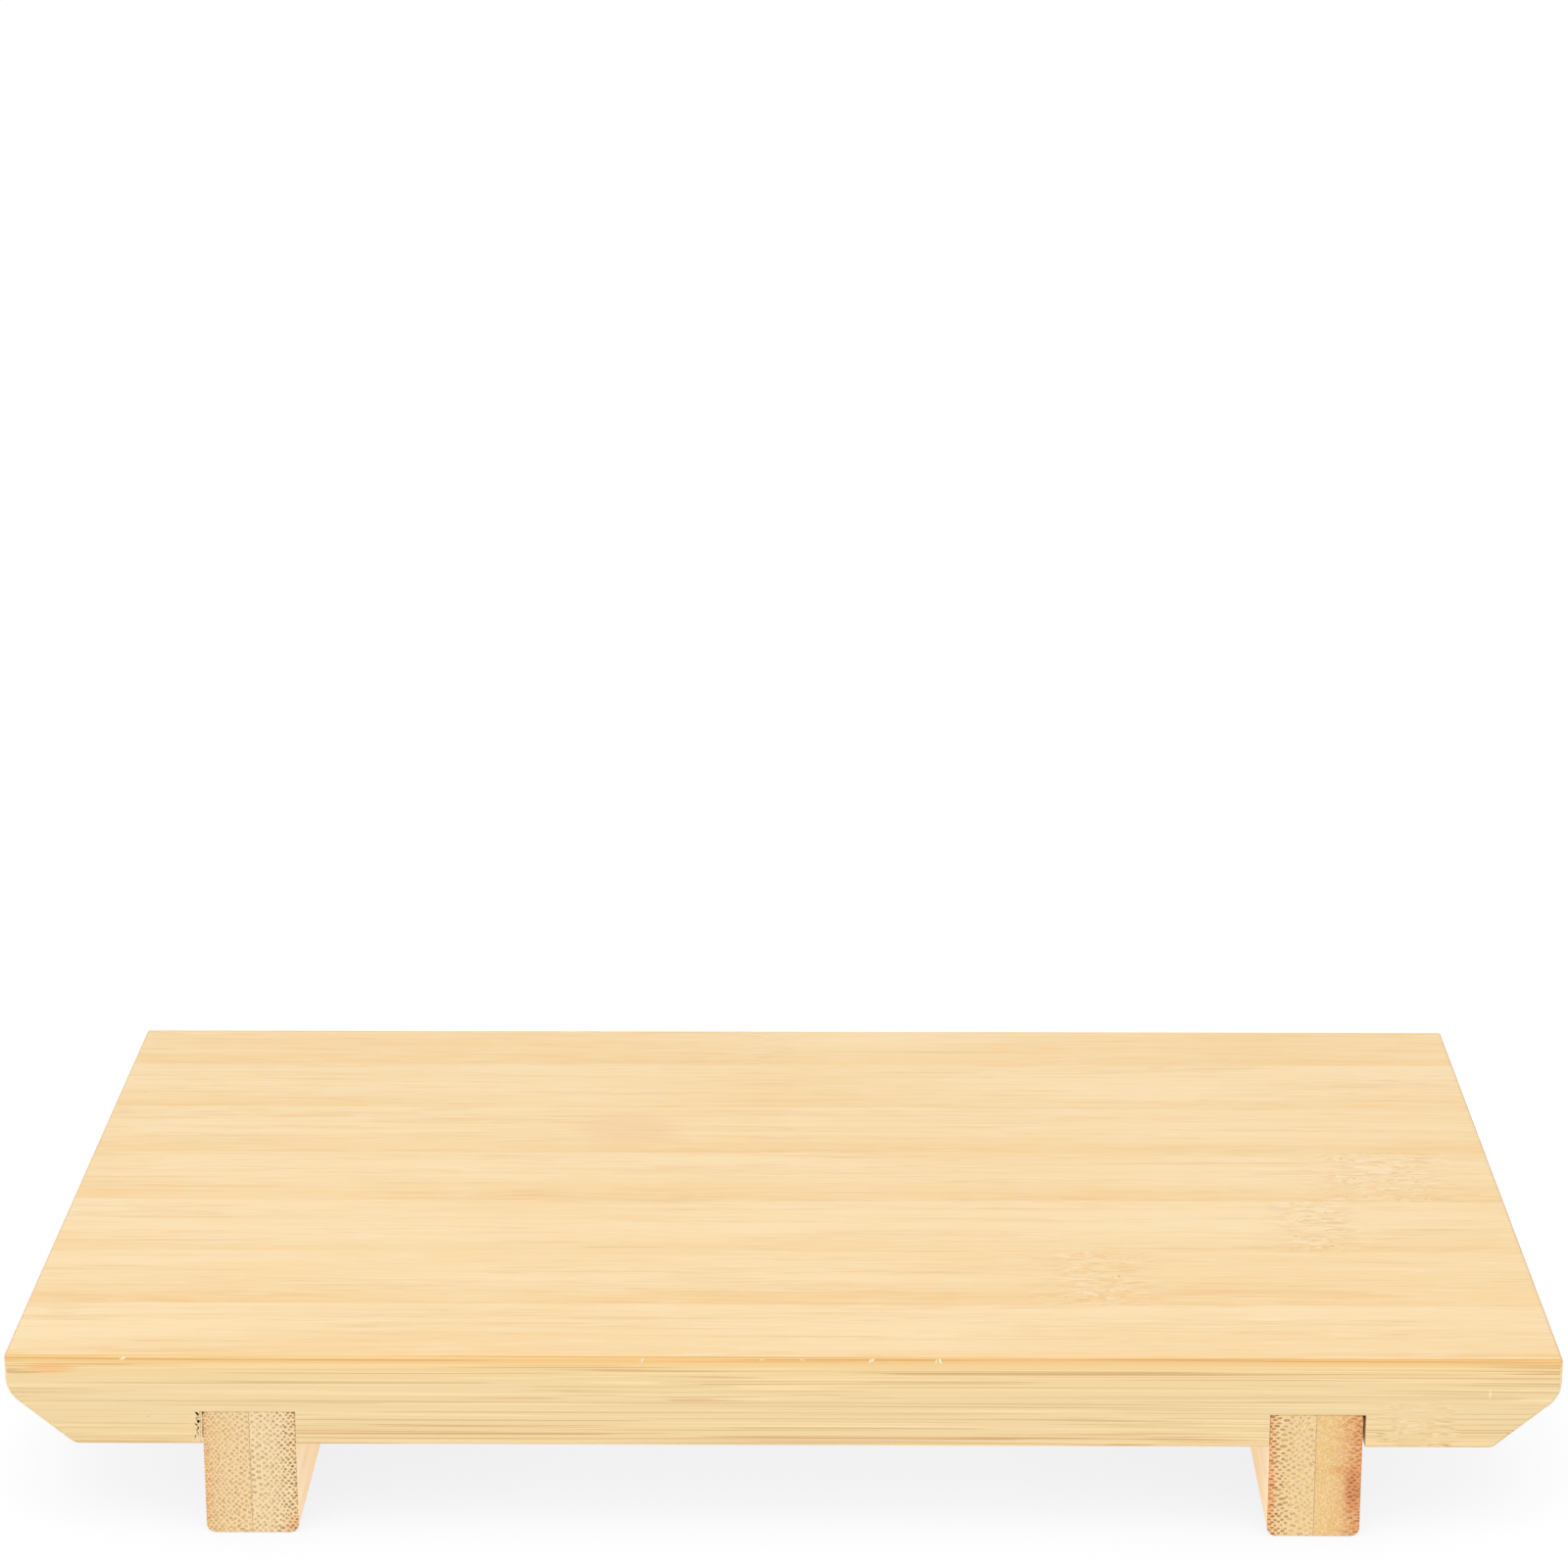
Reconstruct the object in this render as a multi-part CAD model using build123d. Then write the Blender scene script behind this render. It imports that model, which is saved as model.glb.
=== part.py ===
from build123d import *
from math import atan2, cos, radians, tan
import os

# Sushi geta board of pressed bamboo strips, in millimetres, with +Z up.
# The origin is on the table under the board's middle. The front face looks along -Y.

# Deck, pressed from two layers of strips that run from end to end
deck_length = 240
deck_depth = 150
top_layer_thickness = 7.5
bottom_layer_thickness = 7.5
edge_ease = 0.6

# Bevel under each end of the deck
end_face_height = 6.4
bevel_run = 10.3
bevel_upper_radius = 5
bevel_lower_radius = 2

# Strips of each layer, laid from the front edge to the back edge
strip_width = 22.2
top_front_strip_width = 20.7
bottom_front_strip_width = 10.4
narrowest_strip_width = 5

# Legs, each two strips glued flat to flat and housed in a groove across the underside.
# The inset is from the end of the deck to the glue line in the middle of the leg.
leg_inset = 37.5
leg_stand_height = 15
leg_strip_thickness = 7.2
leg_foot_radius = 1.5
leg_top_radius = 0.8
groove_depth = 5.5
groove_play = 0.4

# Every cut runs past what it cuts by this much
overrun = 5

# Heights and widths that follow from the sizes above
glue_height = leg_stand_height + bottom_layer_thickness
deck_top_height = glue_height + top_layer_thickness
end_face_foot_height = deck_top_height - end_face_height
leg_middle = deck_length / 2 - leg_inset
leg_height = leg_stand_height + groove_depth
groove_width = 2 * leg_strip_thickness + groove_play


def fitting_radius(radius, turn, tangent_room):
    """Return the radius, or the largest one whose tangent fits the straight beside it."""
    return min(radius, tangent_room / tan(turn / 2))


def round_corner(outline, corner, radius):
    """Round the corner of a flat outline that lies nearest to the given point."""
    return fillet(outline.vertices().sort_by_distance(corner)[0], radius)


def deck_outline():
    """Return the deck's section from end to end, bevelled and rounded under both ends."""
    half_length = deck_length / 2
    foot = half_length - bevel_run
    bevel_rise = end_face_foot_height - leg_stand_height
    bevel_angle = atan2(bevel_rise, bevel_run)
    bevel_half = bevel_run / cos(bevel_angle) / 2
    upper_turn = radians(90) - bevel_angle
    upper_room = min(bevel_half, end_face_height - edge_ease)
    upper_radius = fitting_radius(bevel_upper_radius, upper_turn, upper_room)
    lower_radius = fitting_radius(bevel_lower_radius, bevel_angle, bevel_half)
    corners = [
        (-foot, leg_stand_height),
        (foot, leg_stand_height),
        (half_length, end_face_foot_height),
        (half_length, deck_top_height),
        (-half_length, deck_top_height),
        (-half_length, end_face_foot_height),
    ]
    outline = make_face(Polyline(*corners, close=True))
    for side in (-1, 1):
        outline = round_corner(outline, (side * foot, leg_stand_height), lower_radius)
        outline = round_corner(outline, (side * half_length, end_face_foot_height), upper_radius)
    return outline


def run_front_to_back(outline):
    """Stand a flat outline up and run it over the deck's whole depth."""
    return extrude(Plane.XZ.offset(-deck_depth / 2) * outline, deck_depth)


def eased_deck():
    """Return the deck in one piece, its edges sanded round and its two grooves cut."""
    deck = run_front_to_back(deck_outline())
    faces = deck.faces().sort_by(Axis.Y)
    end_edges = deck.edges().filter_by(Axis.Y).group_by(Axis.Z)[-1]
    deck = fillet(faces[0].edges() + faces[-1].edges() + end_edges, edge_ease)
    for side in (-1, 1):
        deck -= leg_groove(side)
    return deck


def leg_groove(side):
    """Return the cut for one groove: tight on its inner wall, with play on its outer one."""
    inner_wall = leg_middle - leg_strip_thickness
    middle = side * (inner_wall + groove_width / 2)
    height = groove_depth + overrun
    cut = Box(groove_width, deck_depth + 2 * overrun, height)
    return Pos(middle, 0, leg_stand_height + groove_depth - height / 2) * cut


def joint_places(front_strip_width):
    """Return where one layer's strips begin and end, from the front edge to the back one."""
    back = deck_depth / 2
    places = [-back, -back + front_strip_width]
    while places[-1] + strip_width + narrowest_strip_width <= back:
        places.append(places[-1] + strip_width)
    return places + [back]


def layer_strips(deck, layer, front_strip_width, bottom, top):
    """Cut one layer of the deck along its glue joints into strips named by their order."""
    places = joint_places(front_strip_width)
    strips = {}
    for order, (front, back) in enumerate(zip(places, places[1:]), start=1):
        blank = Box(deck_length + 2 * overrun, back - front, top - bottom)
        blank = Pos(0, (front + back) / 2, (bottom + top) / 2) * blank
        strips[f"{layer}_strip_{order}"] = deck & blank
    return strips


def leg_strip(side, face):
    """Return one strip of a leg, on the leg's inner face (-1) or its outer one (1)."""
    away = side * face
    lean = Align.MIN if away > 0 else Align.MAX
    outline = Rectangle(leg_strip_thickness, leg_height, align=(lean, Align.MIN))
    outside = away * leg_strip_thickness
    outline = round_corner(outline, (outside, 0), leg_foot_radius)
    outline = round_corner(outline, (outside, leg_height), leg_top_radius)
    return Pos(side * leg_middle, 0, 0) * run_front_to_back(outline)


def board_parts():
    """Return every strip of the board by name."""
    deck = eased_deck()
    parts = layer_strips(deck, "top", top_front_strip_width, glue_height, deck_top_height)
    parts |= layer_strips(deck, "bottom", bottom_front_strip_width, leg_stand_height, glue_height)
    for side_name, side in (("left", -1), ("right", 1)):
        parts[f"{side_name}_leg_inner_strip"] = leg_strip(side, -1)
        parts[f"{side_name}_leg_outer_strip"] = leg_strip(side, 1)
    return parts


os.makedirs("parts", exist_ok=True)
for name, part in board_parts().items():
    export_step(part, f"parts/{name}.step")
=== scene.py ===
import math

import bmesh
import bpy
import numpy as np
from mathutils import Matrix, Vector, noise


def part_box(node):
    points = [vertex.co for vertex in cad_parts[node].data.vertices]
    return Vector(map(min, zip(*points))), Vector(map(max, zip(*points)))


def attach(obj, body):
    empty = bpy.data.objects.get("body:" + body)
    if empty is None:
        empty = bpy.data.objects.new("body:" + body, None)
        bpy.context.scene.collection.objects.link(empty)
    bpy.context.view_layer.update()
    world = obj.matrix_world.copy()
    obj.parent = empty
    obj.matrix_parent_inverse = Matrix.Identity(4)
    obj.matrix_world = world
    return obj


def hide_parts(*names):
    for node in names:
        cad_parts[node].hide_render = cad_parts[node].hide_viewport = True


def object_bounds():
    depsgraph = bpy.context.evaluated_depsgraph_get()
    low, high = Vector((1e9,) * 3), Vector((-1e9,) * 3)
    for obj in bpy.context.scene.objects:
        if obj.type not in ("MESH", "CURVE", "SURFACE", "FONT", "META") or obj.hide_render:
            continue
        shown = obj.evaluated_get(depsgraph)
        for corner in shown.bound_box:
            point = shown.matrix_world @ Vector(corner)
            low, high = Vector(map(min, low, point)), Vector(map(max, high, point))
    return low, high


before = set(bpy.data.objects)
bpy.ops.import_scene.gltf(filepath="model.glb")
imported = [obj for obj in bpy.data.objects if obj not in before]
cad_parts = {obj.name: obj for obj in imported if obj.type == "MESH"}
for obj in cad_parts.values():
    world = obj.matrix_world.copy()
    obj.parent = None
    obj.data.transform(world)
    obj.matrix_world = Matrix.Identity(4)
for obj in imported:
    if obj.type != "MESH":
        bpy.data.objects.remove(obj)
cad_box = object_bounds()

# Camera as the photograph's front view was taken, in metres, degrees and millimetres of lens
CAMERA_PLACE = (0.0096, -0.7166, 0.3103)
CAMERA_PITCH = 16.37
CAMERA_YAW = 0.805
CAMERA_ROLL = -0.148
CAMERA_LENS = 103.7
SENSOR_WIDTH = 36

# Studio: strengths at which a colour renders about as written. Sizes are in metres.
AMBIENT = 0.6
LAMPS = {
    "softbox": {"place": (-0.3, -1.5, 2.5), "size": (2.2, 2.2), "watts": 45.5},
    "front_fill": {"place": (0, -1.1, 0.16), "size": (2.2, 0.3), "watts": 0.2},
}
LAMP_TARGET = (0, 0, 0.015)
FLOOR_SIZE = 12
FLOOR_GLOW = 0.7
FLOOR_BOUNCE = 0.4
FLOOR_WHITE = 1.05
FLOOR_SHADOW_SHARE = 0.07
# How far from the board the painted shadow on the floor reaches, in metres
PAINTED_SHADE_REACH = 0.04

# Millimetres in a metre: patterns and small shapes are written in millimetres
MM = 1000
X, Y, Z = 0, 1, 2

# How the strips are finished, in millimetres and degrees
WELD = 0.002
FLAT_ANGLE = 0.5
FLAT_SHARE = 0.99
SHARP_ANGLE = 60
EDGE_ANGLE = 38
SEAM_CHAMFER = 0.03
LEG_ARRIS = 0.3
LEG_ARRIS_STEPS = 3
CELL_ALONG = 6.0
CELL_ACROSS = 0.6
RELIEF = 0.018
RELIEF_LENGTH = 45
RELIEF_PITCH = 1.7
CHIP_ROUGHNESS = 0.3
SEED = 7

# Noise patterns: sizes of their features along the fibres, across and into the wall, in millimetres
DRIFT_SIZES = (110, 16, 16)
SWIRL_SIZES = (5.5, 2.6, 2.6)
GATE_SIZES = (50, 1.6, 1.6)
LONG_LINE_SIZES = (110, 0.21, 0.21)
BRUSH_SIZES = (20, 0.25, 0.25)
BAND_SIZES = (170, 1.9, 1.9)
CLOUD_SIZES = (60, 12, 12)
WANDER_SIZES = (900, 3.5, 3.5)
GRAIN_SIZES = (900, 0.3, 0.3)
STREAK_SIZES = (0.15, 0.3, 0.9)

# Line patterns: length and pitch in millimetres, and fill
LINE_SOFTNESS = 0.05
DARK_HAIRS = (26, 0.24, 0.61)
FINE_HAIRS = (8, 0.17, 0.61)
LIGHT_HAIRS = (11, 0.2, 0.6)
LIGHT_STREAKS = (90, 0.24, 0.61)
DASHES = (4.2, 0.34, 0.56)
STROKES = (4.6, 0.42, 0.6)
PITS = (1.1, 0.45, 0.76)

# How far the patterns swing the fibres, in millimetres, and how far they swing the tone
DRIFT = 1.4
SWIRL = 3.6
DEEP_SHARE = 0.7
BRUSH_TONE = 0.5
BAND_TONE = 0.6
CLOUD_TONE = 0.8
FRONT_TONE = 0.45
FRONT_WIDTH_SHARE = 0.45

# Where the wall turns dense and where its skin ends, as depths in millimetres
DENSE_DEPTHS = (5.5, 0.8)
SKIN_DEPTHS = (1.7, 0.6)
SKIN_SWING = 1.2
DENSE_CROWDING = 0.045

# Strengths of the lines, on wide faces and on narrow ones
HAIR_SHARE = 0.55
LIGHT_HAIR_SHARE = 0.4
LONG_LINE_SHARE = 0.45
DENSE_LINE_SHARE = 0.3
LIGHT_STREAK_SHARE = 0.45
KNUCKLE_FADE = 0.75

# End grain: how rows wander, how bundles scatter and vary, and how stains take
ROW_WANDER = 1.6
ROW_START = 5.7
WALL_THICKNESS = 7
LEAST_DEPTH = 0.02
BUNDLE_SCATTER = 0.36
FILLED_DEPTH = 0.4
SKIN_DEPTH = 0.2
RIM_RADIUS = 1.35
RIM_WIDTH = 0.25
RIM_SHARE = 0.14
CORE_SHARE = 0.5
GRAIN_SHARE = 0.35
STAIN_SHARE = 0.45
DIRT_SHARE = 0.45
SPOT_CORE = 0.3
GLUE_SHARE = 0.5
GLUE_EDGES = (0.1, 0.04)

# Surface: bump in millimetres, and gloss
BUMP_STRENGTH = 0.3
BUMP_DEPTH = 0.04
REFRACTION = 1.45
SPECULAR = 0.25
ROUGHNESS = 0.52
ROUGHNESS_SWING = 0.06
FIBRE_ROUGHNESS = 0.7
FIBRE_SHADE = 0.86

# Colours, as sRGB numbers from 0 to 255
PALE_GROUND = (255, 228, 180)
WARM_GROUND = (251, 211, 148)
# Legs' wide faces: the grain's colours made paler than the deck's, painted light that brightens the legs'
# shaded inner sides
LEG_PALE_WITH_PAINTED_LIGHT = (255, 240, 212)
LEG_WARM_WITH_PAINTED_LIGHT = (252, 226, 180)
FLAT_LINE = (240, 194, 134)
LIGHT_LINE = (255, 239, 208)
# Narrow faces: darker than the wide ones, partly the bamboo wall's own colour and partly painted shade of
# the front face
EDGE_GROUND_WITH_PAINTED_SHADE = (232, 207, 158)
EDGE_WARM_WITH_PAINTED_SHADE = (236, 202, 143)
EDGE_SKIN = (236, 192, 124)
EDGE_LINE = (198, 153, 96)
EDGE_LIGHT = (252, 226, 176)
BLUSH = (248, 206, 158)
STAIN = (240, 174, 96)
SCRATCH = (250, 226, 178)
PIT = (158, 112, 66)
TORN = (255, 242, 210)
FIBRE = (244, 217, 170)
# Dark brown: real soiling in stained end-grain bundles, and painted shade in the torn holes of the left
# groove
DIRT_AND_PAINTED_SHADE = (112, 76, 36)
GLUE = (176, 138, 88)
# Painted shadow: the cool grey that the floor's glow takes under and beside the board
PAINTED_FLOOR_SHADE = (233, 235, 239)


def linear(colour):
    """Turn an sRGB colour into the linear numbers that a shader takes."""
    shares = np.array(colour) / 255
    low = shares / 12.92
    high = ((shares + 0.055) / 1.055) ** 2.4
    return (*np.where(shares <= 0.04045, low, high), 1.0)


class Recipe:
    """One material's nodes, with a short call for each kind of step."""

    def __init__(self, name):
        self.material = bpy.data.materials.new(name)
        self.material.use_nodes = True
        self.tree = self.material.node_tree
        self.tree.nodes.clear()

    def add(self, kind, inputs, **settings):
        """Add a node. Each input is joined to an output or set to a plain value."""
        node = self.tree.nodes.new(kind)
        for name, value in settings.items():
            setattr(node, name, value)
        for key, value in inputs.items():
            if isinstance(value, bpy.types.NodeSocket):
                self.tree.links.new(value, node.inputs[key])
            else:
                node.inputs[key].default_value = value
        return node

    def math(self, operation, *values):
        """Return the result of one sum."""
        return self.add("ShaderNodeMath", dict(enumerate(values)), operation=operation).outputs[0]

    def plus(self, first, second):
        return self.math("ADD", first, second)

    def minus(self, first, second):
        return self.math("SUBTRACT", first, second)

    def times(self, first, second):
        return self.math("MULTIPLY", first, second)

    def over(self, first, second):
        return self.math("DIVIDE", first, second)

    def both(self, value, scale, start):
        """Return the value times a scale, plus a start."""
        return self.math("MULTIPLY_ADD", value, scale, start)

    def swing(self, value, width):
        """Return noise about 0.5 as noise about 0 that swings over the given width."""
        return self.both(value, width, -width / 2)

    def vector(self, x, y, z):
        """Return a vector of three values."""
        return self.add("ShaderNodeCombineXYZ", {0: x, 1: y, 2: z}).outputs[0]

    def parts(self, vector):
        """Return a vector's three values."""
        return self.add("ShaderNodeSeparateXYZ", {0: vector}).outputs

    def step(self, value, start, end):
        """Rise smoothly from 0 at the start to 1 at the end, or fall where the end is lower."""
        inputs = {"Value": value, "From Min": start, "From Max": end}
        node = self.add("ShaderNodeMapRange", inputs, interpolation_type="SMOOTHSTEP")
        return node.outputs[0]

    def noise(self, place, sizes, seed, detail=0.0):
        """Return smooth noise about 0.5, with features of the given sizes in millimetres."""
        inputs = {0: place, 1: tuple(1 / size for size in sizes), 2: (seed * 3.7, seed * 5.3, seed * 1.9)}
        point = self.add("ShaderNodeVectorMath", inputs, operation="MULTIPLY_ADD").outputs[0]
        inputs = {"Vector": point, "Scale": 1.0, "Detail": detail, "Roughness": 0.6}
        return self.add("ShaderNodeTexNoise", inputs).outputs[0]

    def lines(self, place, length, pitch, fill, seed):
        """Return 1 on thin lines along the fibres and 0 between them; a higher fill makes fewer."""
        value = self.noise(place, (length, pitch, pitch), seed)
        return self.step(value, fill, fill + LINE_SOFTNESS)

    def blend(self, share, first, second):
        """Mix two values."""
        return self.add("ShaderNodeMix", {0: share, 2: first, 3: second}).outputs[0]

    def mix(self, share, first, second):
        """Mix two colours, of which either may be sRGB numbers."""
        first = linear(first) if isinstance(first, tuple) else first
        second = linear(second) if isinstance(second, tuple) else second
        return self.add("ShaderNodeMix", {0: share, 6: first, 7: second}, data_type="RGBA").outputs[2]

    def finish(self, colour, height, roughness):
        """Join colour, bump and roughness to a satin shader."""
        inputs = {"Strength": BUMP_STRENGTH, "Distance": BUMP_DEPTH / MM, "Height": height}
        bump = self.add("ShaderNodeBump", inputs)
        inputs = {"Base Color": colour, "Normal": bump.outputs[0], "Roughness": roughness}
        inputs |= {"IOR": REFRACTION, "Specular IOR Level": SPECULAR}
        shader = self.add("ShaderNodeBsdfPrincipled", inputs)
        self.add("ShaderNodeOutputMaterial", {"Surface": shader.outputs[0]})
        return self.material


def spot(recipe, place, middle, radii):
    """Return 1 in the middle of an ellipsoid, falling smoothly to 0 at its surface."""
    inputs = {0: place, 1: middle}
    offset = recipe.add("ShaderNodeVectorMath", inputs, operation="SUBTRACT").outputs[0]
    inputs = {0: offset, 1: radii}
    scaled = recipe.add("ShaderNodeVectorMath", inputs, operation="DIVIDE").outputs[0]
    length = recipe.add("ShaderNodeVectorMath", {0: scaled}, operation="LENGTH").outputs["Value"]
    return recipe.step(length, 1.0, SPOT_CORE)


def bend_at_knuckles(recipe, place, along, look):
    """Return how far into a knuckle a point is, and the fibres' place bent as they run past it."""
    seed = look["seed"]
    shift = recipe.swing(recipe.noise(place, DRIFT_SIZES, seed), DRIFT)
    zone = 0.0
    for middle, half_width, strength in look["knuckles"]:
        distance = recipe.math("ABSOLUTE", recipe.minus(along, middle))
        zone = recipe.plus(zone, recipe.times(recipe.step(distance, half_width, 0.0), strength))
    if look["knuckles"]:
        swirl = recipe.noise(place, SWIRL_SIZES, seed + 1)
        shift = recipe.plus(shift, recipe.times(zone, recipe.swing(swirl, SWIRL)))
    bend = recipe.vector(0.0, shift, recipe.times(shift, DEEP_SHARE))
    bent = recipe.add("ShaderNodeVectorMath", {0: place, 1: bend}, operation="ADD").outputs[0]
    return zone, bent


def side_grain(recipe, place, flat, look):
    """Return colour and height for faces along the fibres: long lines, broken at the knuckles."""
    seed = look["seed"]
    along, across, depth = recipe.parts(place)
    zone, bent = bend_at_knuckles(recipe, place, along, look)

    # Short hairs on the wide faces, and long thin lines on the narrow ones, closer by the skin
    dense = recipe.step(depth, *DENSE_DEPTHS)
    gate = recipe.step(recipe.noise(bent, GATE_SIZES, seed + 6), 0.4, 0.62)
    dark = recipe.times(recipe.lines(bent, *DARK_HAIRS, seed + 2), gate)
    fine = recipe.times(recipe.lines(bent, *FINE_HAIRS, seed + 3), recipe.both(gate, 0.6, 0.3))
    hairs = recipe.math("MAXIMUM", dark, fine)
    long_lines = recipe.noise(bent, LONG_LINE_SIZES, seed + 5)
    long_lines = recipe.plus(long_lines, recipe.times(dense, DENSE_CROWDING))
    long_lines = recipe.step(long_lines, 0.62, 0.67)
    lines = recipe.blend(flat, long_lines, hairs)
    light = recipe.lines(bent, *LIGHT_HAIRS, seed + 4)
    light = recipe.blend(flat, recipe.lines(bent, *LIGHT_STREAKS, seed + 15), light)
    whole = recipe.minus(1.0, recipe.times(zone, KNUCKLE_FADE))
    lines = recipe.times(lines, whole)
    light = recipe.times(light, whole)

    # Broad tone: warm along each strip's front edge, paler behind
    brush = recipe.noise(bent, BRUSH_SIZES, seed + 7, detail=2.0)
    bands = recipe.noise(bent, BAND_SIZES, seed + 8, detail=1.0)
    clouds = recipe.noise(place, CLOUD_SIZES, seed + 9)
    tone = recipe.plus(recipe.swing(brush, BRUSH_TONE), recipe.swing(bands, BAND_TONE))
    tone = recipe.plus(tone, recipe.swing(clouds, CLOUD_TONE))
    edge = recipe.step(across, look["front"] + look["width"] * FRONT_WIDTH_SHARE, look["front"])
    tone = recipe.plus(tone, recipe.both(edge, FRONT_TONE, look["tone"]))
    tone = recipe.math("MINIMUM", recipe.math("MAXIMUM", tone, 0.0), 1.0)

    # Wide faces are pale, and the narrow ones show the wall from its dense skin inwards, on a darker ground
    # that is partly painted shade
    pale = recipe.mix(tone, look["pale_ground"], look["warm_ground"])
    pale = recipe.mix(recipe.times(lines, HAIR_SHARE), pale, FLAT_LINE)
    pale = recipe.mix(recipe.times(light, LIGHT_HAIR_SHARE), pale, LIGHT_LINE)
    warmth = recipe.times(dense, recipe.both(tone, 0.3, look["wall_warmth"]))
    wall = recipe.mix(warmth, EDGE_GROUND_WITH_PAINTED_SHADE, EDGE_WARM_WITH_PAINTED_SHADE)
    skin = recipe.step(recipe.plus(depth, recipe.swing(bands, SKIN_SWING)), *SKIN_DEPTHS)
    wall = recipe.mix(recipe.times(skin, look["skin_warmth"]), wall, EDGE_SKIN)
    line_share = recipe.both(dense, DENSE_LINE_SHARE, LONG_LINE_SHARE)
    wall = recipe.mix(recipe.times(lines, line_share), wall, EDGE_LINE)
    wall = recipe.mix(recipe.times(light, LIGHT_STREAK_SHARE), wall, EDGE_LIGHT)
    colour = recipe.mix(flat, wall, pale)
    height = recipe.minus(recipe.times(brush, 0.6), lines)
    if look["knuckles"]:
        colour, height = knuckle_marks(recipe, bent, zone, flat, colour, height, look)
    return colour, height


def knuckle_marks(recipe, bent, zone, flat, colour, height, look):
    """Add the short dashes, pale strokes and pits that sanding leaves at a knuckle."""
    seed = look["seed"]
    share = recipe.math("MINIMUM", recipe.times(zone, 1.6), 1.0)
    dashes = recipe.times(recipe.lines(bent, *DASHES, seed + 10), share)
    strokes = recipe.times(recipe.lines(bent, *STROKES, seed + 11), share)
    pits = recipe.times(recipe.lines(bent, *PITS, seed + 12), recipe.step(zone, 0.45, 0.8))
    colour = recipe.mix(recipe.times(dashes, recipe.both(flat, 0.35, 0.25)), colour, FLAT_LINE)
    colour = recipe.mix(recipe.times(strokes, recipe.both(flat, 0.35, 0.2)), colour, LIGHT_LINE)
    colour = recipe.mix(recipe.times(pits, recipe.both(flat, 0.25, 0.15)), colour, PIT)
    return colour, recipe.minus(height, recipe.plus(dashes, pits))


def end_grain(recipe, place, look):
    """Return colour and height for faces across the fibres: staggered rows of fibre bundles."""
    end = look["end"]
    _, across, depth = recipe.parts(place)
    wander = recipe.swing(recipe.noise(place, WANDER_SIZES, look["seed"] + 13), ROW_WANDER)
    depth = recipe.math("MAXIMUM", depth, LEAST_DEPTH)
    level = recipe.math("POWER", depth, end["crowding"])
    per_level = 1 / (end["pitch_in"] * end["crowding"] * WALL_THICKNESS ** (end["crowding"] - 1))
    row = recipe.plus(recipe.times(level, per_level), wander)
    place_in_row = recipe.both(across, 1 / end["pitch_across"], look["seed"] * ROW_START)
    cell = recipe.vector(recipe.plus(row, place_in_row), recipe.minus(row, place_in_row), 0.0)
    inputs = {"Vector": cell, "Scale": 1.0, "Randomness": BUNDLE_SCATTER}
    voronoi = recipe.add("ShaderNodeTexVoronoi", inputs, voronoi_dimensions="2D")
    inputs = {0: cell, 1: voronoi.outputs["Position"]}
    offset = recipe.add("ShaderNodeVectorMath", inputs, operation="SUBTRACT").outputs[0]
    first, second, _ = recipe.parts(offset)
    pitch_here = recipe.over(recipe.over(depth, level), per_level * end["crowding"])
    off_depth = recipe.times(recipe.plus(first, second), recipe.times(pitch_here, 0.5))
    off_across = recipe.times(recipe.minus(first, second), end["pitch_across"] / 2)
    chance = recipe.parts(voronoi.outputs["Color"])

    # Bundles are filled and flat at the skin, and round rings inside
    inner = recipe.step(recipe.minus(depth, off_depth), FILLED_DEPTH, end["filled_to"])
    wide = recipe.over(off_depth, recipe.both(inner, end["ring"] - end["bundle"][0], end["bundle"][0]))
    tall = recipe.over(off_across, recipe.both(inner, end["ring"] - end["bundle"][1], end["bundle"][1]))
    square = recipe.plus(recipe.times(wide, wide), recipe.times(tall, tall))
    radius = recipe.over(recipe.math("SQRT", square), recipe.both(chance[0], 0.4, 0.8))
    body = recipe.step(radius, 1.15, 0.85)
    core = recipe.times(recipe.step(radius, 0.62, 0.25), inner)
    rim = recipe.step(recipe.math("ABSOLUTE", recipe.minus(radius, RIM_RADIUS)), RIM_WIDTH, 0.0)
    strength = recipe.both(inner, end["ring_strength"] - end["bundle_strength"], end["bundle_strength"])
    strength = recipe.times(strength, recipe.both(chance[1], 0.5, 0.6))
    grain = recipe.noise(place, GRAIN_SIZES, look["seed"] + 14, detail=1.0)
    skin = recipe.step(recipe.plus(depth, recipe.swing(grain, 1.0)), end["skin_to"], SKIN_DEPTH)
    colour = recipe.mix(skin, end["ground"], end["skin_ground"])
    grained = recipe.mix(GRAIN_SHARE, colour, LIGHT_LINE)
    colour = recipe.mix(recipe.step(grain, 0.3, 0.75), colour, grained)
    bundle = recipe.mix(inner, end["bundle_colour"], end["ring_colour"])
    for middle, radii, stain, share in end["stains"]:
        patch = recipe.times(spot(recipe, place, middle, radii), recipe.both(grain, 1.2, 0.4))
        colour = recipe.mix(recipe.times(patch, share * STAIN_SHARE), colour, stain)
        bundle = recipe.mix(recipe.times(patch, share), bundle, recipe.mix(DIRT_SHARE, stain, DIRT_AND_PAINTED_SHADE))
        strength = recipe.math("MAXIMUM", strength, recipe.times(patch, share))
    colour = recipe.mix(recipe.times(rim, RIM_SHARE), colour, LIGHT_LINE)
    colour = recipe.mix(recipe.times(body, strength), colour, bundle)
    colour = recipe.mix(recipe.times(core, CORE_SHARE), colour, LIGHT_LINE)
    return colour, recipe.minus(recipe.times(core, CORE_SHARE), body)


def millimetres(recipe):
    """Return the texture coordinates, and a point's place in the object in millimetres."""
    where = recipe.add("ShaderNodeTexCoord", {})
    inputs = {0: where.outputs["Object"], 1: (MM, MM, MM)}
    scaled = recipe.add("ShaderNodeVectorMath", inputs, operation="MULTIPLY")
    return where, scaled.outputs[0]


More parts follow.
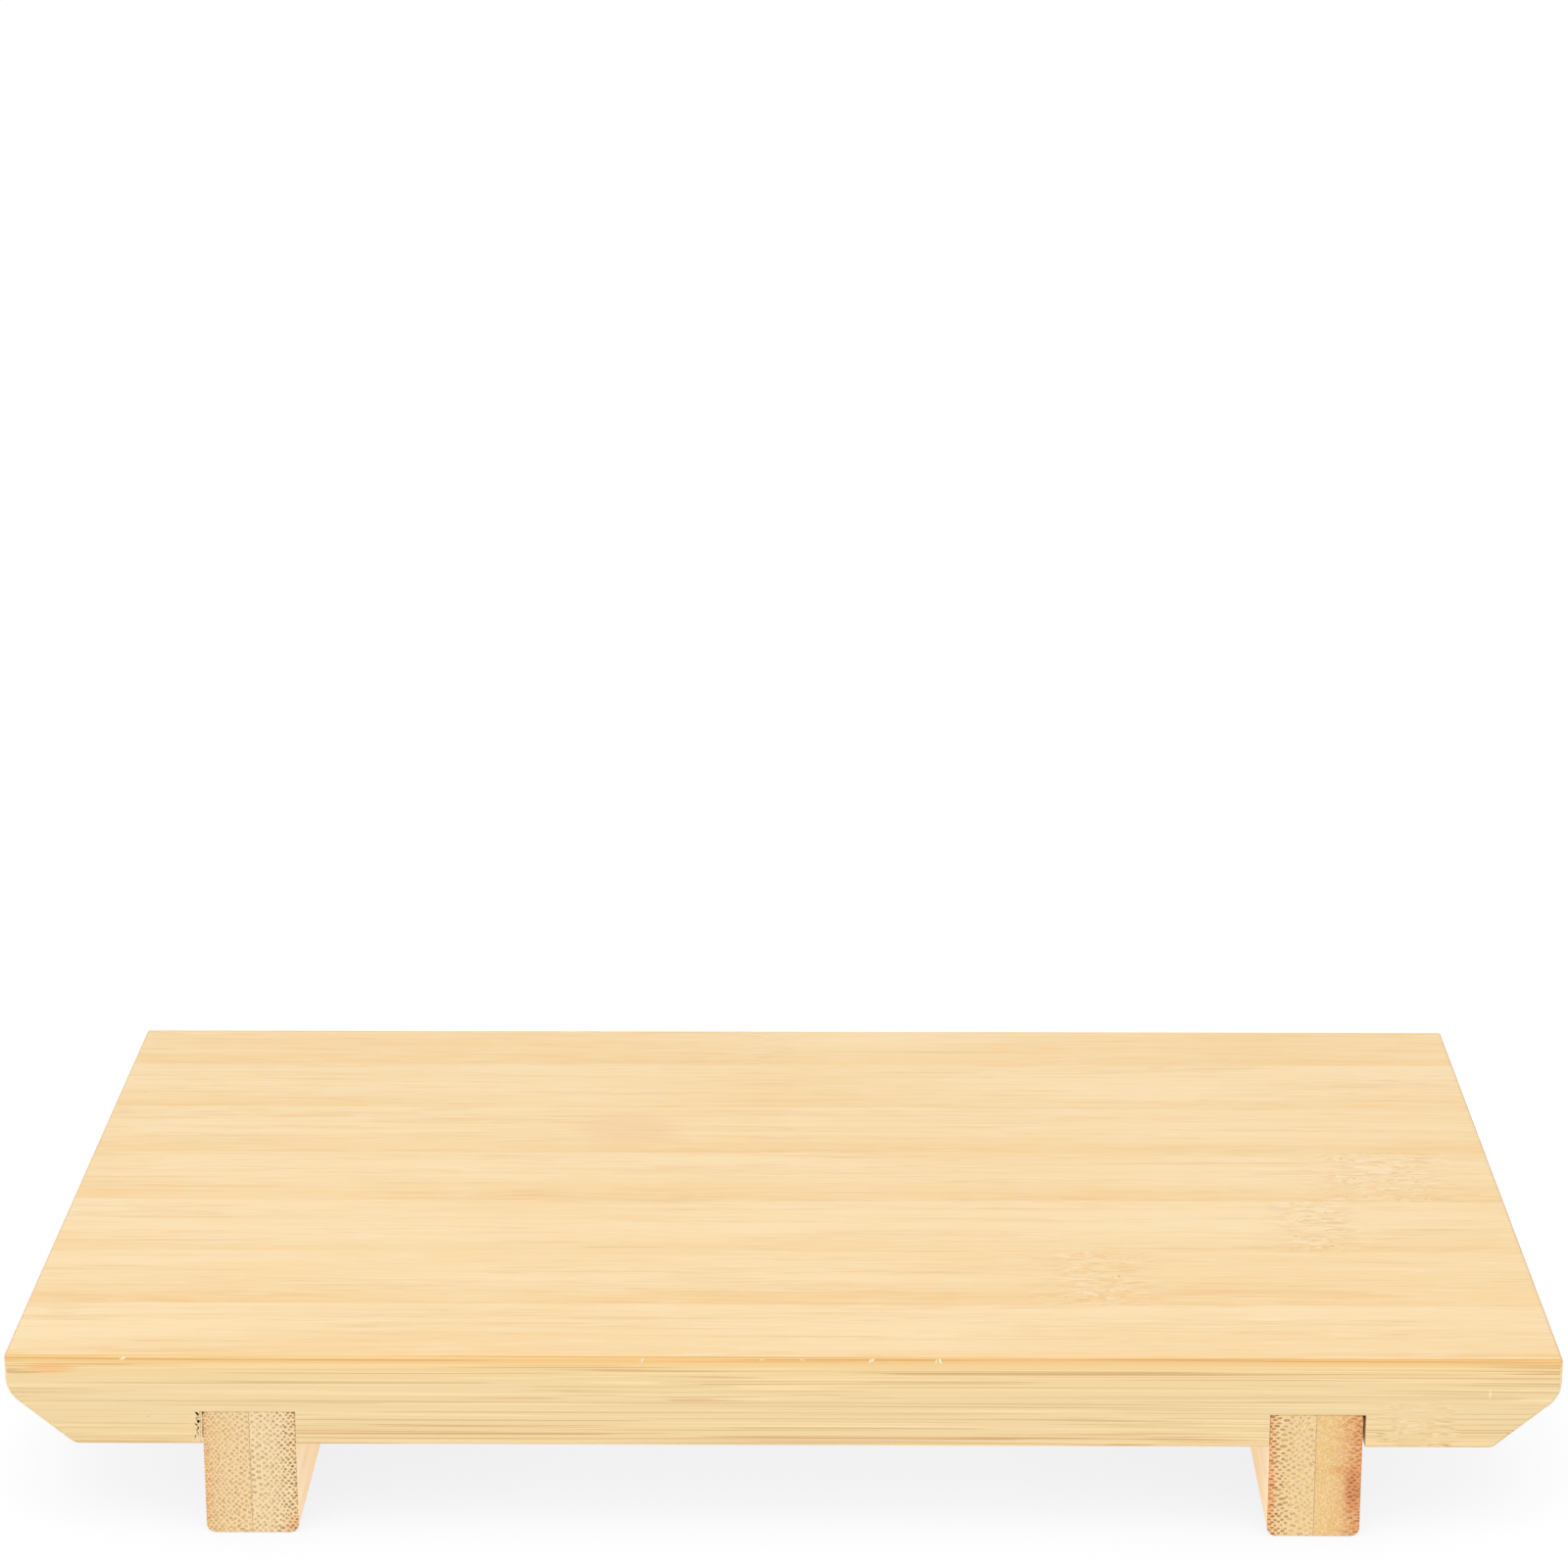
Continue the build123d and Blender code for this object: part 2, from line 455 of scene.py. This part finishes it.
def bamboo(name, look):
    """Make one strip's material, whose pattern follows its fibres, skin and knuckles."""
    recipe = Recipe(name)
    where, row_point = millimetres(recipe)
    row_place = recipe.parts(row_point)
    facing = recipe.parts(where.outputs["Normal"])
    fibre, cross, thick = look["axes"]
    depth = recipe.times(recipe.minus(row_place[thick], look["skin"]), look["inward"])
    place = recipe.vector(row_place[fibre], row_place[cross], depth)
    flat = recipe.step(recipe.math("ABSOLUTE", facing[thick]), 0.75, 0.97)
    side_colour, side_height = side_grain(recipe, place, flat, look)
    end_colour, end_height = end_grain(recipe, place, look)
    is_end = recipe.step(recipe.math("ABSOLUTE", facing[fibre]), 0.4, 0.55)
    colour = recipe.mix(is_end, side_colour, end_colour)
    for middle, radii, stain, share in look["spots"]:
        colour = recipe.mix(recipe.times(spot(recipe, place, middle, radii), share), colour, stain)
    if look["glue_depth"]:
        start, end = (look["glue_depth"] - edge for edge in GLUE_EDGES)
        glue = recipe.times(recipe.step(depth, start, end), is_end)
        colour = recipe.mix(recipe.times(glue, GLUE_SHARE), colour, GLUE)
    height = recipe.plus(side_height, recipe.times(is_end, recipe.minus(end_height, side_height)))
    return recipe.finish(colour, height, recipe.both(height, ROUGHNESS_SWING, ROUGHNESS))


def plain_fibre(name, colour):
    """Make a plain material with fine streaks, for torn fibre and for the painted shade in the torn holes.
    """
    recipe = Recipe(name)
    _, point = millimetres(recipe)
    streaks = recipe.noise(point, STREAK_SIZES, 3, detail=1.0)
    darker = tuple(round(share * FIBRE_SHADE) for share in colour)
    shown = recipe.mix(recipe.step(streaks, 0.35, 0.65), darker, colour)
    return recipe.finish(shown, streaks, FIBRE_ROUGHNESS)


# Knuckles (place and half width along the fibres, and strength) and tone of each top strip
TOP_KNUCKLES = {2: [(50, 14, 0.9)], 3: [(87, 11, 0.9)], 4: [(101, 18, 1.0)], 7: [(-6, 9, 0.4)]}
TOP_TONES = {1: 0.12, 2: 0.3, 3: 0.12, 4: 0.25, 5: 0.2, 6: 0.12, 7: 0.3}
BOTTOM_KNUCKLES = {
    1: [(98, 7, 0.9)], 2: [(-40, 8, 0.8)], 4: [(22, 9, 0.9)], 5: [(-88, 8, 0.7)], 7: [(64, 9, 0.9)],
}

# Marks of the photograph: middle and radii as (along, across, depth), colour and strength
TOP_SPOTS = {
    1: [((-113, -75, 2.2), (5.5, 3, 1.2), STAIN, 0.5), ((109, -75, 5.9), (0.3, 1, 1.0), SCRATCH, 0.6)],
    5: [((-28.5, 23.4, 0), (13, 12, 3), BLUSH, 0.45)],
}

# End grain of the deck's strips and of the four leg strips: sizes in millimetres, and colours.
# A stain is its middle and radii as (along, across, depth), its colour and its strength.
DECK_END = {
    "pitch_in": 1.4, "pitch_across": 1.2, "crowding": 0.8, "filled_to": 4.0, "skin_to": 2.5,
    "bundle": (0.3, 0.2), "ring": 0.26, "bundle_strength": 0.6, "ring_strength": 0.35,
    "ground": (240, 212, 165), "skin_ground": (240, 200, 140),
    "bundle_colour": (176, 128, 74), "ring_colour": (196, 156, 104), "stains": [],
}
LEG_ENDS = {
    "left_outer": {
        "pitch_in": 1.1, "pitch_across": 0.95, "crowding": 0.75, "filled_to": 0.9, "skin_to": 3.5,
        "bundle": (0.18, 0.16), "ring": 0.2, "bundle_strength": 0.8, "ring_strength": 0.7,
        "ground": (229, 196, 139), "skin_ground": (232, 187, 126),
        "bundle_colour": (146, 98, 50), "ring_colour": (152, 106, 58),
        "stains": [
            ((0, 8, 0), (900, 8, 1.2), (244, 172, 88), 0.55),
            ((0, 17, 3), (900, 3, 3), (242, 192, 128), 0.4),
        ],
    },
    "left_inner": {
        "pitch_in": 1.15, "pitch_across": 1.0, "crowding": 0.85, "filled_to": 4.2, "skin_to": 1.5,
        "bundle": (0.23, 0.18), "ring": 0.21, "bundle_strength": 0.85, "ring_strength": 0.7,
        "ground": (232, 203, 152), "skin_ground": (234, 196, 139),
        "bundle_colour": (124, 88, 52), "ring_colour": (148, 110, 66),
        "stains": [((0, 0, 0.8), (900, 4.5, 2.2), (214, 134, 62), 0.7)],
    },
    "right_inner": {
        "pitch_in": 1.5, "pitch_across": 0.98, "crowding": 0.9, "filled_to": 4.8, "skin_to": 1.6,
        "bundle": (0.38, 0.18), "ring": 0.22, "bundle_strength": 0.9, "ring_strength": 0.6,
        "ground": (229, 194, 133), "skin_ground": (232, 172, 105),
        "bundle_colour": (148, 88, 46), "ring_colour": (152, 116, 70),
        "stains": [((0, 8, 0), (900, 8, 1.8), (224, 120, 66), 0.5)],
    },
    "right_outer": {
        "pitch_in": 1.5, "pitch_across": 0.98, "crowding": 0.9, "filled_to": 4.0, "skin_to": 5.5,
        "bundle": (0.38, 0.18), "ring": 0.22, "bundle_strength": 0.75, "ring_strength": 0.4,
        "ground": (226, 184, 113), "skin_ground": (218, 147, 75),
        "bundle_colour": (160, 92, 44), "ring_colour": (178, 132, 76),
        "stains": [
            ((0, 8, 1.3), (900, 6, 1.9), (186, 92, 42), 0.95),
            ((0, 11.2, 3.2), (900, 1.1, 2.6), (222, 134, 76), 0.7),
            ((0, 9, 0.3), (900, 11, 1.2), (232, 146, 84), 0.6),
        ],
    },
}

# Nicks along the front: middle (along, up), half length and half height, and tilt in degrees
EDGE_NICKS = [
    ((-101.6, 29.45), (0.6, 0.2), 20), ((-21.5, 29.4), (0.6, 0.22), 50), ((-3, 29.5), (0.45, 0.18), 0),
    ((3.2, 29.5), (0.5, 0.16), -15), ((13.8, 29.4), (0.6, 0.22), 30), ((24.4, 29.35), (0.6, 0.2), -60),
    ((23.7, 29.3), (0.45, 0.16), 60),
]
FOOT_NICKS = [((50, 15.1), (1.3, 0.2), 0), ((-98, 19.7), (0.22, 0.1), 0), ((-117.6, 23.2), (0.22, 0.12), 0)]
TORN_HOLES = [
    ((-90.5, 20.2), (0.5, 0.2), -50), ((-90.3, 19.7), (0.5, 0.2), 70), ((-90.5, 19.2), (0.5, 0.16), -65),
    ((-90.35, 18.7), (0.5, 0.18), 60), ((-90.6, 18.3), (0.45, 0.13), -40), ((-90.4, 17.8), (0.4, 0.12), 75),
    ((-90.5, 17.1), (0.6, 0.1), -75), ((-90.85, 16.4), (0.5, 0.06), 70),
]
NICK_DEPTH = 0.14
HOLE_DEPTH = 1.2

# Splinters in the left groove's gap: root and tip (along, up), and how far they bow, in millimetres
SPLINTERS = [
    ((-89.95, 19.95), (-91.2, 19.5), 0.2), ((-89.95, 19.2), (-91.0, 18.9), -0.15),
    ((-90.8, 18.6), (-89.9, 17.9), 0.12), ((-90.0, 18.3), (-91.3, 18.0), 0.14),
    ((-89.95, 17.6), (-90.8, 16.7), -0.1), ((-90.0, 16.9), (-90.9, 15.9), 0.12),
    ((-89.9, 20.4), (-89.86, 16.6), 0.05), ((-89.84, 19.0), (-89.9, 15.3), -0.04),
    ((-89.9, 15.2), (-89.84, 18.4), 0.04), ((-90.0, 16.2), (-90.35, 15.2), 0.08),
]
SPLINTER_WIDTH = 0.36
SPLINTER_THICKNESS = 0.09
SPLINTER_STEPS = 6

# Each strip has its own seed: deck strips by number, top ones further on, and legs last
TOP_SEEDS = 17
LEG_SEEDS = 40


def deck_look(name, number, knuckles, tone, spots, on_top):
    """Return the pattern values of one deck strip."""
    low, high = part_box(name)
    return {
        "seed": number + TOP_SEEDS * on_top,
        "axes": (X, Y, Z),
        "knuckles": knuckles,
        "tone": tone,
        "front": low.y * MM,
        "width": (high.y - low.y) * MM,
        "skin": (high.z if on_top else low.z) * MM,
        "inward": -1 if on_top else 1,
        "pale_ground": PALE_GROUND,
        "warm_ground": WARM_GROUND,
        "wall_warmth": 0.6 if on_top else 0.0,
        "skin_warmth": 0.9 if on_top else 0.05,
        "spots": spots,
        "glue_depth": 0,
        "end": DECK_END,
    }


def leg_look(name, number):
    """Return the pattern values of one leg strip."""
    low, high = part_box(name)
    side, _, face, _ = name.split("_")
    skin_is_low = (side == "left") == (face == "outer")
    return {
        "seed": LEG_SEEDS + number,
        "axes": (Y, Z, X),
        "knuckles": [],
        "tone": 0.1,
        "front": low.z * MM,
        "width": (high.z - low.z) * MM,
        "skin": (low.x if skin_is_low else high.x) * MM,
        "inward": 1 if skin_is_low else -1,
        # The legs' paler grounds carry painted light for their shaded inner sides
        "pale_ground": LEG_PALE_WITH_PAINTED_LIGHT,
        "warm_ground": LEG_WARM_WITH_PAINTED_LIGHT,
        "wall_warmth": 0.3,
        "skin_warmth": 0.3,
        "spots": [],
        "glue_depth": (high.x - low.x) * MM,
        "end": LEG_ENDS[f"{side}_{face}"],
    }


def look_of(name, order):
    """Return the pattern values of any strip."""
    words = name.split("_")
    if words[0] == "top":
        number = int(words[-1])
        return deck_look(
            name, number, TOP_KNUCKLES.get(number, []), TOP_TONES[number], TOP_SPOTS.get(number, []), True)
    if words[0] == "bottom":
        number = int(words[-1])
        return deck_look(name, number, BOTTOM_KNUCKLES.get(number, []), 0.2, [], False)
    return leg_look(name, order)


def sharp_edges(work):
    """Return the edges where two faces meet at a clear angle."""
    limit = math.radians(SHARP_ANGLE)
    return [edge for edge in work.edges if len(edge.link_faces) == 2 and edge.calc_face_angle() > limit]


def on_leg_end(edge, low, high, glue):
    """Tell whether an edge runs round a leg strip's end, away from the glue line."""
    middle = (edge.verts[0].co + edge.verts[1].co) / 2
    at_end = min(middle.y - low.y, high.y - middle.y) < WELD / MM
    return at_end and abs(middle.x - glue) > WELD / MM


def soften(work, name):
    """Round a leg's outer edges, and take a hair off every glued edge."""
    low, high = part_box(name)
    if "leg" in name:
        outer = "outer" in name
        glue = low.x if (abs(low.x) < abs(high.x)) == outer else high.x
        arrises = [edge for edge in sharp_edges(work) if on_leg_end(edge, low, high, glue)]
        bmesh.ops.bevel(
            work, geom=arrises, offset=LEG_ARRIS / MM, segments=LEG_ARRIS_STEPS, profile=0.5, affect="EDGES")
    bmesh.ops.bevel(
        work, geom=sharp_edges(work), offset=SEAM_CHAMFER / MM, segments=1, profile=0.5, affect="EDGES")


def cut_cells(work, low, high, axis, cell):
    """Cut a mesh by evenly spaced planes along one axis."""
    count = max(1, round((high[axis] - low[axis]) * MM / cell))
    normal = Vector((0, 0, 0))
    normal[axis] = 1
    for place in np.linspace(low[axis], high[axis], count + 1)[1:-1]:
        point = Vector((0, 0, 0))
        point[axis] = place
        geometry = work.verts[:] + work.edges[:] + work.faces[:]
        bmesh.ops.bisect_plane(work, geom=geometry, plane_co=point, plane_no=normal, dist=WELD / MM)


def sand(work, look):
    """Lower the wide skin face a hair between the fibres, as sanding leaves it."""
    fibre, cross, thick = look["axes"]
    outward = -look["inward"]
    work.normal_update()
    for vertex in work.verts:
        if min(face.normal[thick] * outward for face in vertex.link_faces) > FLAT_SHARE:
            along = vertex.co[fibre] * MM / RELIEF_LENGTH
            across = vertex.co[cross] * MM / RELIEF_PITCH
            dip = noise.noise(Vector((along, across, SEED)))
            vertex.co[thick] -= outward * (0.5 + 0.5 * dip) * RELIEF / MM


def strip_mesh(name, look):
    """Copy a CAD strip, soften its edges and give its wide faces their relief."""
    low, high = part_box(name)
    fibre, cross, _ = look["axes"]
    work = bmesh.new()
    work.from_mesh(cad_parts[name].data)
    bmesh.ops.remove_doubles(work, verts=work.verts[:], dist=WELD / MM)
    bmesh.ops.dissolve_limit(
        work, angle_limit=math.radians(FLAT_ANGLE), verts=work.verts[:], edges=work.edges[:])
    soften(work, name)
    cut_cells(work, low, high, fibre, CELL_ALONG)
    cut_cells(work, low, high, cross, CELL_ACROSS)
    sand(work, look)
    mesh = bpy.data.meshes.new(f"{name}_sanded")
    work.to_mesh(mesh)
    work.free()
    if "custom_normal" in mesh.attributes:
        mesh.attributes.remove(mesh.attributes["custom_normal"])
    return mesh


def finish_strip(name, mesh, material):
    """Turn a mesh into the piece that stands for a CAD strip."""
    piece = bpy.data.objects.new(f"{name}_sanded", mesh)
    bpy.context.scene.collection.objects.link(piece)
    mesh.materials.append(material)
    mesh.polygons.foreach_set("use_smooth", [True] * len(mesh.polygons))
    mesh.set_sharp_from_angle(angle=math.radians(EDGE_ANGLE))
    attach(piece, "root")
    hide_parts(name)
    return piece


def make_strips():
    """Make every strip with its own pattern."""
    pieces = {}
    for order, name in enumerate(sorted(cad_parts)):
        look = look_of(name, order)
        pieces[name] = finish_strip(name, strip_mesh(name, look), bamboo(name, look))
    return pieces


def chip_cutter(marks, depth, material, random):
    """Return an object of rough lens shapes, one for each mark, that cut into the front face."""
    front = cad_box[0][Y]
    work = bmesh.new()
    for (along, up), (half_length, half_height), tilt in marks:
        lens = bmesh.ops.create_icosphere(work, subdivisions=1, radius=1)
        turn = Matrix.Rotation(math.radians(-tilt), 4, "Y")
        place = Matrix.Translation((along / MM, front, up / MM)) @ turn
        size = Vector((half_length, depth, half_height)) / MM
        for vertex in lens["verts"]:
            rough = 1 + random.uniform(-CHIP_ROUGHNESS, CHIP_ROUGHNESS)
            vertex.co = place @ (vertex.co * size * rough)
    mesh = bpy.data.meshes.new("chips")
    work.to_mesh(mesh)
    work.free()
    mesh.materials.append(material)
    cutter = bpy.data.objects.new("chips", mesh)
    bpy.context.scene.collection.objects.link(cutter)
    return cutter


def carve(piece, cutter):
    """Cut a cutter's shapes out of a piece and delete the cutter."""
    modifier = piece.modifiers.new("chips", "BOOLEAN")
    modifier.operation = "DIFFERENCE"
    modifier.solver = "EXACT"
    modifier.use_self = True
    modifier.material_mode = "TRANSFER"
    modifier.object = cutter
    graph = bpy.context.evaluated_depsgraph_get()
    carved = bpy.data.meshes.new_from_object(piece.evaluated_get(graph))
    carved.set_sharp_from_angle(angle=math.radians(EDGE_ANGLE))
    piece.modifiers.clear()
    piece.data = carved
    bpy.data.objects.remove(cutter)


def add_splinter(work, root, tip, bow):
    """Add one bowed blade that tapers from its root to its tip, just behind the front face."""
    behind = cad_box[0][Y] * MM + SPLINTER_THICKNESS
    root = Vector((root[0], behind, root[1]))
    tip = Vector((tip[0], behind, tip[1]))
    run = (tip - root).normalized()
    side = run.cross(Vector((0, 1, 0)))
    rings = []
    for step in range(SPLINTER_STEPS):
        share = step / SPLINTER_STEPS
        middle = root.lerp(tip, share) + side * bow * 4 * share * (1 - share)
        half = SPLINTER_WIDTH / 2 * (1 - share ** 2)
        thin = Vector((0, SPLINTER_THICKNESS * (1 - share), 0))
        corners = (middle - side * half, middle - thin, middle + side * half, middle + thin)
        rings.append([work.verts.new(corner / MM) for corner in corners])
    point = work.verts.new(tip / MM)
    work.faces.new(rings[0])
    for near, far in zip(rings, rings[1:]):
        for first, second in ((0, 1), (1, 2), (2, 3), (3, 0)):
            work.faces.new((near[second], near[first], far[first], far[second]))
    for first, second in ((0, 1), (1, 2), (2, 3), (3, 0)):
        work.faces.new((rings[-1][second], rings[-1][first], point))


def make_splinters(material):
    """Stand the torn fibres in the gap beside the left leg."""
    work = bmesh.new()
    for root, tip, bow in SPLINTERS:
        add_splinter(work, root, tip, bow)
    bmesh.ops.recalc_face_normals(work, faces=work.faces[:])
    mesh = bpy.data.meshes.new("groove_splinters")
    work.to_mesh(mesh)
    work.free()
    mesh.materials.append(material)
    piece = bpy.data.objects.new("groove_splinters", mesh)
    bpy.context.scene.collection.objects.link(piece)
    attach(piece, "root")


def make_chips(pieces):
    """Chip the front edge and tear the left leg's groove, as the photograph shows."""
    random = np.random.default_rng(SEED)
    torn = plain_fibre("torn_fibre", TORN)
    painted_hole_shade = plain_fibre("groove_painted_shade", DIRT_AND_PAINTED_SHADE)
    carve(pieces["top_strip_1"], chip_cutter(EDGE_NICKS, NICK_DEPTH, torn, random))
    carve(pieces["bottom_strip_1"], chip_cutter(FOOT_NICKS, NICK_DEPTH, torn, random))
    # The torn holes get a dark brown that paints the shade of their hollows
    carve(pieces["bottom_strip_1"], chip_cutter(TORN_HOLES, HOLE_DEPTH, painted_hole_shade, random))
    make_splinters(plain_fibre("splinter_fibre", FIBRE))


def make_floor():
    """Lay a white floor that keeps a small share of the board's real shadow, paints a grey shadow under and
    beside the board, and lets a view from below through.
    """
    bpy.ops.mesh.primitive_plane_add(size=FLOOR_SIZE)
    floor = bpy.context.object
    floor.name = "floor"
    recipe = Recipe("floor")
    rays = recipe.add("ShaderNodeLightPath", {}).outputs
    white = (1.0, 1.0, 1.0, 1.0)
    bounce = (FLOOR_BOUNCE, FLOOR_BOUNCE, FLOOR_BOUNCE, 1.0)
    shaded = recipe.add("ShaderNodeBsdfDiffuse", {"Color": white}).outputs[0]
    # Painted shadow: the floor's glow, as the camera sees it, turns grey where ambient occlusion finds the
    # board close
    unshaded = recipe.add("ShaderNodeAmbientOcclusion", {"Distance": PAINTED_SHADE_REACH}).outputs["AO"]
    tone = recipe.mix(unshaded, PAINTED_FLOOR_SHADE, (255, 255, 255))
    glow = recipe.add("ShaderNodeEmission", {"Color": tone, "Strength": FLOOR_WHITE}).outputs[0]
    lift = recipe.add("ShaderNodeEmission", {"Color": white, "Strength": FLOOR_GLOW}).outputs[0]
    matt = recipe.add("ShaderNodeBsdfDiffuse", {"Color": bounce}).outputs[0]
    plain = recipe.add("ShaderNodeAddShader", {0: lift, 1: matt}).outputs[0]
    seen = recipe.add("ShaderNodeMixShader", {0: FLOOR_SHADOW_SHARE, 1: glow, 2: shaded}).outputs[0]
    shown = recipe.math("MAXIMUM", rays["Is Camera Ray"], rays["Is Glossy Ray"])
    front = recipe.add("ShaderNodeMixShader", {0: shown, 1: plain, 2: seen}).outputs[0]
    clear = recipe.add("ShaderNodeBsdfTransparent", {}).outputs[0]
    underside = recipe.add("ShaderNodeNewGeometry", {}).outputs["Backfacing"]
    below = recipe.times(underside, rays["Is Camera Ray"])
    surface = recipe.add("ShaderNodeMixShader", {0: below, 1: front, 2: clear}).outputs[0]
    recipe.add("ShaderNodeOutputMaterial", {"Surface": surface})
    floor.data.materials.append(recipe.material)


def make_world():
    """Surround the board with soft white light, and show the camera plain white."""
    world = bpy.data.worlds.new("studio")
    bpy.context.scene.world = world
    world.use_nodes = True
    nodes, links = world.node_tree.nodes, world.node_tree.links
    background = nodes["Background"]
    background.inputs["Color"].default_value = (1.0, 1.0, 1.0, 1.0)
    rays = nodes.new("ShaderNodeLightPath")
    strength = nodes.new("ShaderNodeMapRange")
    strength.inputs["To Min"].default_value = AMBIENT
    strength.inputs["To Max"].default_value = 1.0
    links.new(rays.outputs["Is Camera Ray"], strength.inputs["Value"])
    links.new(strength.outputs[0], background.inputs["Strength"])


def make_lamps():
    """Hang the softbox and the low front fill, both turned to the board."""
    for name, values in LAMPS.items():
        lamp = bpy.data.lights.new(name, "AREA")
        lamp.shape = "RECTANGLE"
        lamp.size, lamp.size_y = values["size"]
        lamp.energy = values["watts"]
        holder = bpy.data.objects.new(name, lamp)
        bpy.context.scene.collection.objects.link(holder)
        holder.location = values["place"]
        aim = Vector(LAMP_TARGET) - Vector(values["place"])
        holder.rotation_euler = aim.to_track_quat("-Z", "Y").to_euler()


def make_camera():
    """Set the camera where the photograph's front view was taken from."""
    data = bpy.data.cameras.new("camera")
    data.lens = CAMERA_LENS
    data.sensor_width = SENSOR_WIDTH
    camera = bpy.data.objects.new("camera", data)
    bpy.context.scene.collection.objects.link(camera)
    turn = Matrix.Rotation(math.radians(CAMERA_YAW), 4, "Z")
    tilt = Matrix.Rotation(math.radians(90 - CAMERA_PITCH), 4, "X")
    roll = Matrix.Rotation(math.radians(CAMERA_ROLL), 4, "Z")
    camera.matrix_world = Matrix.Translation(CAMERA_PLACE) @ turn @ tilt @ roll
    bpy.context.scene.camera = camera


make_chips(make_strips())
make_floor()
make_world()
make_lamps()
make_camera()
bpy.context.scene.view_settings.view_transform = "Standard"
